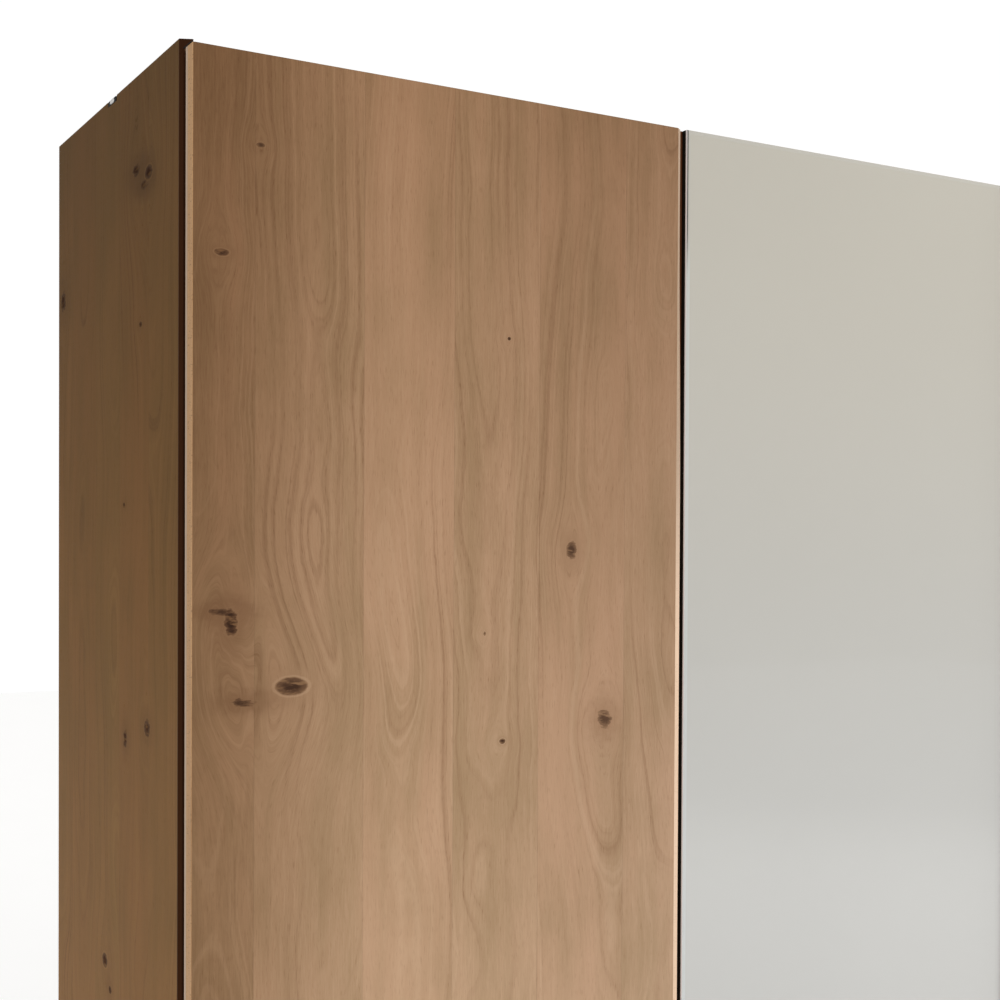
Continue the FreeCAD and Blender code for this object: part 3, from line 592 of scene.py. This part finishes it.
MATERIALS = {
    "oak_left": plank_oak("oak_left", FACE_OAK, "x", LEFT_STAVES, LEFT_KNOTS, 3.0, door_painted_shade),
    "oak_right": plank_oak("oak_right", FACE_OAK, "x", RIGHT_STAVES, RIGHT_KNOTS, 61.0),
    "oak_side": plank_oak("oak_side", SHADED_SIDE_OAK, "y", SIDE_STAVES, SIDE_KNOTS, 23.0, side_painted_shade, 0.06),
    "oak_light": light_oak("oak_light", LIPPING_OAK),
    # the grip bevel: a painted highlight, with painted shade above 1.72 m
    "oak_grip_lit": light_oak("oak_grip_lit", LIT_GRIP_OAK, 0.15, 1.72),
    "interior": linen_board("interior", (0.50, 0.47, 0.42)),
    "back": hardboard("back", (0.46, 0.43, 0.385)),
    "carrier_left": linen_board("carrier_left", (0.40, 0.385, 0.35), 0.06, LEAF_LEFT[1][1] - BAND_LINE),
    "carrier_right": linen_board("carrier_right", (0.40, 0.385, 0.35), 0.06, LEAF_RIGHT[1][1] - BAND_LINE),
    "backing": hardboard("backing", (0.30, 0.21, 0.125)),
    "edge": moulded("edge", (0.135, 0.074, 0.037), 0.50, sheen=0.06),
    "dark_trim": moulded("dark_trim", (0.052, 0.020, 0.009), 0.60, sheen=0.0),
    "glass_left": lacquered_glass("glass_left", *GLASS_LEFT),
    "glass_right": lacquered_glass("glass_right", *GLASS_RIGHT),
    "aluminium": metal("aluminium", (0.72, 0.72, 0.73), 0.34, "x"),
    "steel": metal("steel", (0.56, 0.57, 0.58), 0.38, "z", 0.14, 0.10),
    "chrome": metal("chrome", (0.82, 0.82, 0.84), 0.10, "x", 0.04, 0.02),
    "nylon": moulded("nylon", (0.60, 0.585, 0.53), 0.40),
    "rubber": moulded("rubber", (0.014, 0.012, 0.011), 0.75, 1.5, 0.12),
    "black_plastic": moulded("black_plastic", (0.012, 0.011, 0.010), 0.55, sheen=0.10),
    "inlay_brown": moulded("inlay_brown", (0.150, 0.050, 0.020), 0.50, sheen=0.10),
    # the emission of the glass edge is a painted glow
    "glass_edge": polished_edge("glass_edge", (0.80, 0.76, 0.76), 0.16),
    "white_plastic": moulded("white_plastic", (0.84, 0.84, 0.83), 0.30),
}

SLOT_LOOKS = {
    "oak_side": "oak_side",
    "oak_light": "oak_light",
    "interior_decor": "interior",
    "edge_brown": "edge",
    "trim_dark": "dark_trim",
    "back_board": "back",
    "backing_mdf": "backing",
    "lacquered_glass": "glass_left",
    "aluminium": "aluminium",
    "steel": "steel",
    "chrome": "chrome",
    "nylon": "nylon",
    "rubber": "rubber",
    "black_plastic": "black_plastic",
    "white_plastic": "white_plastic",
}


slot_of_node = {entry["node"]: entry["material_slot"] for entry in frame["record"]["subparts"]}
for name, piece in frame["nodes"].items():
    slot = slot_of_node[name]
    if slot == "oak":
        look = "oak_left" if name.startswith("left") else "oak_right"
    elif name.endswith("grip_inlay"):
        look = "inlay_brown"
    elif slot == "carrier_grey":
        look = "carrier_left" if name.startswith("left") else "carrier_right"
    else:
        look = SLOT_LOOKS[slot]
    for material_slot in piece.material_slots:
        material_slot.material = MATERIALS[look]


# ---------------------------------------------------------------- softened edges of the CAD nodes

def soften(piece, width):
    """A fine arris or radius on every sharp edge of a CAD node."""
    weld = piece.modifiers.new("weld", "WELD")
    weld.merge_threshold = 0.00001
    bevel = piece.modifiers.new("arris", "BEVEL")
    bevel.width = width
    bevel.segments = 2
    bevel.limit_method = "ANGLE"
    bevel.angle_limit = math.radians(40)
    bevel.use_clamp_overlap = True


# width of the arris in millimetres
ARRIS = {
    "side_panel_left": 0.5, "side_panel_right": 0.5, "edge_bands": 0.4, "dust_lips": 0.6, "lip_caps": 0.3,
    "left_oak_panel": 0.2, "right_oak_panel": 0.2, "left_carrier": 0.4, "right_carrier": 0.4,
    "bottom_board_left": 0.3, "bottom_board_right": 0.3, "top_board_left": 0.3, "top_board_right": 0.3,
    "partition_left": 0.3, "partition_centre": 0.3, "partition_right": 0.3, "hat_shelves": 0.6,
    "inner_shelves": 0.6, "plinth_front": 0.5, "plinth_rear": 0.5,
}
for name, width in ARRIS.items():
    soften(frame["nodes"][name], width * MM)


# ---------------------------------------------------------------- pieces finer than the CAD nodes

def new_object(name, mesh):
    """An object of the mesh, put into the scene."""
    piece = bpy.data.objects.new(name, mesh)
    bpy.context.scene.collection.objects.link(piece)
    return piece


def skin(name, vertices, faces, looks, wear):
    """A mesh object whose faces look outwards; wear gives for each face which of the looks it has."""
    mesh = bpy.data.meshes.new(name)
    mesh.from_pydata(vertices, [], faces)
    for look in looks:
        mesh.materials.append(MATERIALS[look])
    for face, index in zip(mesh.polygons, wear):
        face.material_index = index
    shape = bmesh.new()
    shape.from_mesh(mesh)
    bmesh.ops.recalc_face_normals(shape, faces=shape.faces)
    shape.to_mesh(mesh)
    shape.free()
    return new_object(name, mesh)


def loft(name, stations, looks, body, nodes, look_of_side=None):
    """A closed skin through outlines of equal length, each (height, points), lowest first.

    look_of_side gives for each side of the outline which of the looks it wears.
    """
    vertices = []
    for height, outline in stations:
        vertices += [(x, y, height) for x, y in outline]
    count = len(stations[0][1])
    faces = []
    wear = []
    for row in range(len(stations) - 1):
        for column in range(count):
            after = (column + 1) % count
            first, second = row * count + column, row * count + after
            faces.append((first, second, second + count, first + count))
            wear.append(look_of_side[column] if look_of_side else 0)
    last = (len(stations) - 1) * count
    faces.append(tuple(reversed(range(count))))
    faces.append(tuple(range(last, last + count)))
    wear += [0, 0]
    piece = skin(name, vertices, faces, looks, wear)
    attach(piece, body)
    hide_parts(*nodes)


def levels(low, high, count):
    """The two ends and, between them, count even heights that keep clear of both by an arris."""
    edge = 0.4 * MM
    inner = [low + edge + (high - low - 2 * edge) * step / (count - 1) for step in range(count)]
    return [low, *inner, high]


GRIP_LEVELS = 40
OUTER_LEVELS = 4
LIP_FACE = 7.7 * MM
BEVEL_SHALLOW = 0.5 * MM
BEVEL_DEEP = 5.3 * MM
# the middle height of the shallow stretch, and how far from it the bevel starts to deepen and is deepest
BEVEL_MIDDLE = 1.10
BEVEL_RUN = (0.50, 0.92)


def bevel_depth(height):
    """The bevel beside the groove is deep at both ends and runs out to almost nothing around hand height."""
    away = abs(height - BEVEL_MIDDLE)
    share = (away - BEVEL_RUN[0]) / (BEVEL_RUN[1] - BEVEL_RUN[0])
    share = min(1.0, max(0.0, share))
    eased = share * share * (3.0 - 2.0 * share)
    return BEVEL_SHALLOW + (BEVEL_DEEP - BEVEL_SHALLOW) * eased


def mirrored(outline, side):
    """The outline as drawn for the left leaf (side -1), or turned over for the right one (side 1)."""
    return [(-side * x, y) for x, y in outline]


def lippings(word, side):
    """The oak lippings of one leaf: a square one outside, and one with the carved grip beside the groove."""
    low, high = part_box(f"{word}_oak_lippings")
    groove, outer = sorted((abs(low[0]), abs(high[0])))
    front, back = low[1], high[1]
    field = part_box(f"{word}_oak_panel")
    field_edges = sorted((abs(field[0][0]), abs(field[1][0])))
    arris = 0.5 * MM

    stations = []
    for index, height in enumerate(levels(low[2], high[2], GRIP_LEVELS)):
        pinch = arris if index in (0, GRIP_LEVELS + 1) else 0.0
        depth = bevel_depth(height)
        outline = [(-field_edges[0], back), (-groove - pinch, back),
                   (-groove - pinch, front + depth + 0.3 * MM),
                   (-groove - 0.3 * MM - pinch, front + depth - 0.05 * MM + pinch),
                   (-groove - LIP_FACE + 0.4 * MM, front + 0.05 * depth + pinch),
                   (-groove - LIP_FACE, front + pinch), (-field_edges[0], front + pinch)]
        stations.append((height, mirrored(outline, side)))
    loft(f"{word}_grip_lipping", stations, ["oak_light", f"oak_{word}", "oak_grip_lit"], f"{word}_door",
         [f"{word}_oak_lippings"], (0, 0, 2, 2, 2, 1, 0))

    stations = []
    for index, height in enumerate(levels(low[2], high[2], OUTER_LEVELS)):
        pinch = arris if index in (0, OUTER_LEVELS + 1) else 0.0
        outline = [(-outer + pinch, back), (-outer + pinch, front + arris + pinch),
                   (-outer + 0.15 * MM + pinch, front + 0.15 * MM + pinch),
                   (-outer + arris + pinch, front + pinch), (-field_edges[1], front + pinch),
                   (-field_edges[1], back)]
        stations.append((height, mirrored(outline, side)))
    loft(f"{word}_outer_lipping", stations, ["oak_light", f"oak_{word}"], f"{word}_door",
         [f"{word}_oak_lippings"], (0, 0, 0, 1, 0, 0))


def faceted_glass(word):
    """The glass field with its border ground back at a slight slope on all four sides."""
    low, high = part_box(f"{word}_glass")
    front, back = low[1], high[1]
    edge = 0.3 * MM

    def rectangle(inset, depth):
        return [(low[0] + inset, depth, low[2] + inset), (high[0] - inset, depth, low[2] + inset),
                (high[0] - inset, depth, high[2] - inset), (low[0] + inset, depth, high[2] - inset)]

    rings = [rectangle(edge, back), rectangle(0.0, back - edge), rectangle(0.0, front + FACET_DEPTH + edge),
             rectangle(edge, front + FACET_DEPTH), rectangle(FACET_WIDTH, front)]
    vertices = [corner for ring in rings for corner in ring]
    faces = [(3, 2, 1, 0)]
    wear = [0]
    for row in range(len(rings) - 1):
        for column in range(4):
            first, second = row * 4 + column, row * 4 + (column + 1) % 4
            faces.append((first, second, second + 4, first + 4))
            wear.append(1 if row < 3 else 0)
    faces.append((16, 17, 18, 19))
    wear.append(0)
    piece = skin(f"{word}_faceted_glass", vertices, faces, [f"glass_{word}", "glass_edge"], wear)
    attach(piece, f"{word}_door")
    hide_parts(f"{word}_glass")


def glass_seat(word, side):
    """A black band on the wall of the groove, behind the edge of the glass."""
    low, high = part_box(f"{word}_grip_inlay")
    wall = min(abs(low[0]), abs(high[0]))
    glass_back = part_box(f"{word}_glass")[1][1]
    thick = 0.4 * MM
    stations = []
    for height in levels(low[2], high[2], 3):
        outline = [(-wall - thick, low[1] - 0.1 * MM), (-wall - thick, glass_back + 0.2 * MM),
                   (-wall - thick * 0.5, glass_back), (-wall, glass_back), (-wall, low[1] - 0.1 * MM)]
        stations.append((height, mirrored(outline, side)))
    loft(f"{word}_glass_seat_band", stations, ["black_plastic"], f"{word}_door", [])


ROUND_STEPS = 6


def slab(name, low, high, look, nodes, round_off):
    """A low block on the case, its two ends along the depth of the case rounded over round_off."""
    middle = (low[2] + high[2]) / 2
    half = (high[2] - low[2]) / 2
    outline = []
    for centre, start in ((high[1] - round_off, 0.0), (low[1] + round_off, math.pi)):
        for step in range(ROUND_STEPS + 1):
            turn = start + math.pi * step / ROUND_STEPS - math.pi / 2
            outline.append((centre + math.cos(turn) * round_off, middle + math.sin(turn) * half))
    vertices = [(x, y, z) for x in (low[0], high[0]) for y, z in outline]
    count = len(outline)
    faces = []
    for index in range(count):
        after = (index + 1) % count
        faces.append((index, after, after + count, index + count))
    faces += [tuple(reversed(range(count))), tuple(range(count, 2 * count))]
    piece = skin(name, vertices, faces, [look], [0] * len(faces))
    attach(piece, "carcass")
    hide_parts(*nodes)


NOTCH_REACH = 8 * MM
# the black lining around each clip is painted shadow in the notch
NOTCH_SHADOW_MARGIN = 6 * MM
NOTCH_SHADOW_HEIGHT = 7.5 * MM
NOTCH_SHADOW_ROUND = 3 * MM
CLIP_MARGIN = 4 * MM
CLIP_BOTTOM = 1.2 * MM
CLIP_TOP = 7.6 * MM
CLIP_ROUND = 6 * MM
CLIP_PROUD = 0.4 * MM


def notch_fittings(word, side):
    """In each side's notch a white clip with round ends, bedded in a black lining that is painted shadow."""
    low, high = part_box("top_clips")
    floor = low[2]
    inner = side * (HIGH.x - NOTCH_REACH)
    left, right = sorted((side * HIGH.x, inner))
    slab(f"{word}_notch_shadow_lining", (left, low[1] - NOTCH_SHADOW_MARGIN, floor),
         (right, high[1] + NOTCH_SHADOW_MARGIN, floor + NOTCH_SHADOW_HEIGHT),
         "black_plastic", ["top_clips"], NOTCH_SHADOW_ROUND)
    left, right = sorted((side * (HIGH.x + CLIP_PROUD), inner))
    slab(f"{word}_notch_clip", (left, low[1] + CLIP_MARGIN, floor + CLIP_BOTTOM),
         (right, high[1] - CLIP_MARGIN, floor + CLIP_TOP),
         "white_plastic", ["top_clips"], CLIP_ROUND)


# size of the thin black strip under each cap, a painted shadow
CAP_SHADOW_WIDTH = 1.8 * MM
CAP_SHADOW_START = 0.3 * MM
CAP_SHADOW_END = 33 * MM
CAP_SHADOW_BOTTOM = 0.2 * MM
CAP_SHADOW_TOP = 1.1 * MM
CAP_SHADOW_ROUND = 0.4 * MM


def cap_shadow_strip(word, side):
    """A thin black strip under the cap of a side, just over the top of the leaf: a painted shadow between the
    side and the leaf.
    """
    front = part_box("lip_caps")[0][1]
    leaf_top = LEAF_LEFT[1][2]
    left, right = sorted((side * HIGH.x, side * (HIGH.x - CAP_SHADOW_WIDTH)))
    slab(f"{word}_cap_shadow_strip", (left, front + CAP_SHADOW_START, leaf_top + CAP_SHADOW_BOTTOM),
         (right, front + CAP_SHADOW_END, leaf_top + CAP_SHADOW_TOP), "rubber", [], CAP_SHADOW_ROUND)


for word, side in (("left", -1.0), ("right", 1.0)):
    lippings(word, side)
    faceted_glass(word)
    glass_seat(word, side)
    notch_fittings(word, side)
    cap_shadow_strip(word, side)


# ---------------------------------------------------------------- stage, lights, camera

def emission(name, colour, strength):
    material = bpy.data.materials.new(name)
    material.use_nodes = True
    tree = material.node_tree
    tree.nodes.clear()
    glow = tree.nodes.new("ShaderNodeEmission")
    glow.inputs["Color"].default_value = (*colour, 1.0)
    glow.inputs["Strength"].default_value = strength
    output = tree.nodes.new("ShaderNodeOutputMaterial")
    tree.links.new(glow.outputs[0], output.inputs[0])
    return material


STAGE_RADIUS = 14.0
FLOOR_LEVEL = -1 * MM


def stage():
    """A white dome seen by the camera only, and a plain pale floor."""
    shape = bmesh.new()
    bmesh.ops.create_uvsphere(shape, u_segments=48, v_segments=24, radius=STAGE_RADIUS)
    mesh = bpy.data.meshes.new("backdrop")
    shape.to_mesh(mesh)
    shape.free()
    dome = new_object("backdrop", mesh)
    mesh.materials.append(emission("backdrop_white", (1.0, 1.0, 1.0), 1.02))
    dome.visible_diffuse = False
    dome.visible_glossy = False
    dome.visible_shadow = False

    half = STAGE_RADIUS * 0.98
    mesh = bpy.data.meshes.new("floor")
    corners = ((-half, -half), (half, -half), (half, half), (-half, half))
    mesh.from_pydata([(x, y, FLOOR_LEVEL) for x, y in corners], [], [(0, 1, 2, 3)])
    floor = new_object("floor", mesh)
    net = Net("floor_pale")
    x, y, z = net.place()
    speckle = net.noise(net.vector(x, y, z), 3.0, 4.0)
    level = net.plus(0.85, net.times(speckle, 0.04))
    mesh.materials.append(net.surface(net.vector(level, level, level), 0.7, Emission_Color=(1.0, 1.0, 1.0),
                                      Emission_Strength=0.44))


def area_light(name, at, target, size, power, colour):
    data = bpy.data.lights.new(name, "AREA")
    data.shape = "RECTANGLE"
    data.size, data.size_y = size
    data.energy = power
    data.color = colour
    lamp = bpy.data.objects.new(name, data)
    bpy.context.scene.collection.objects.link(lamp)
    lamp.visible_glossy = False
    lamp.location = at
    lamp.rotation_euler = (Vector(target) - Vector(at)).to_track_quat("-Z", "Y").to_euler()


# strength of the room light from the left and from the right
DIM_SIDE = 0.30
BRIGHT_SIDE = 0.90


def lights():
    """A room that is dimmer to the left than to the right, and one large soft lamp at the front right."""
    world = bpy.data.worlds.new("studio")
    bpy.context.scene.world = world
    world.use_nodes = True
    tree = world.node_tree
    background = tree.nodes["Background"]
    background.inputs["Color"].default_value = (1.0, 0.99, 0.97, 1.0)
    direction = tree.nodes.new("ShaderNodeTexCoord")
    split = tree.nodes.new("ShaderNodeSeparateXYZ")
    sideways = tree.nodes.new("ShaderNodeMapRange")
    tree.links.new(direction.outputs["Generated"], split.inputs[0])
    tree.links.new(split.outputs[0], sideways.inputs["Value"])
    for socket, value in zip(sideways.inputs[1:5], (-1.0, 1.0, DIM_SIDE, BRIGHT_SIDE)):
        socket.default_value = value
    tree.links.new(sideways.outputs[0], background.inputs["Strength"])
    area_light("key", (HIGH.x + 1.5, LOW.y - 4.2, 3.2), (0.0, LOW.y, 1.0), (3.0, 3.0), 145.0,
               (1.0, 0.985, 0.96))


def camera():
    """A 54 mm lens off the left front corner, about 1.5 m up and tipped down by under a degree.

    The lens is shifted a little, to the right and up.
    """
    corner = Vector((LOW.x, LOW.y, HIGH.z))
    at = corner + Vector((-0.6112, -1.7222, -0.6353))
    heading, pitch, roll = (math.radians(angle) for angle in (29.593, -0.777, 0.261))
    ahead = Vector((math.sin(heading), math.cos(heading), 0.0))
    forward = math.cos(pitch) * ahead + math.sin(pitch) * Vector((0.0, 0.0, 1.0))
    level = Vector((math.cos(heading), -math.sin(heading), 0.0))
    upright = level.cross(forward)
    right = math.cos(roll) * level + math.sin(roll) * upright
    up = math.cos(roll) * upright - math.sin(roll) * level
    data = bpy.data.cameras.new("camera")
    data.lens = 53.64
    data.sensor_width = 36.0
    data.shift_x = 0.0344
    data.shift_y = 0.0672
    data.clip_end = 60.0
    eye = bpy.data.objects.new("camera", data)
    bpy.context.scene.collection.objects.link(eye)
    eye.matrix_world = Matrix.Translation(at) @ Matrix((right, up, -forward)).transposed().to_4x4()
    bpy.context.scene.camera = eye


stage()
lights()
camera()
bpy.context.scene.view_settings.view_transform = "Standard"
bpy.context.scene.view_settings.look = "None"
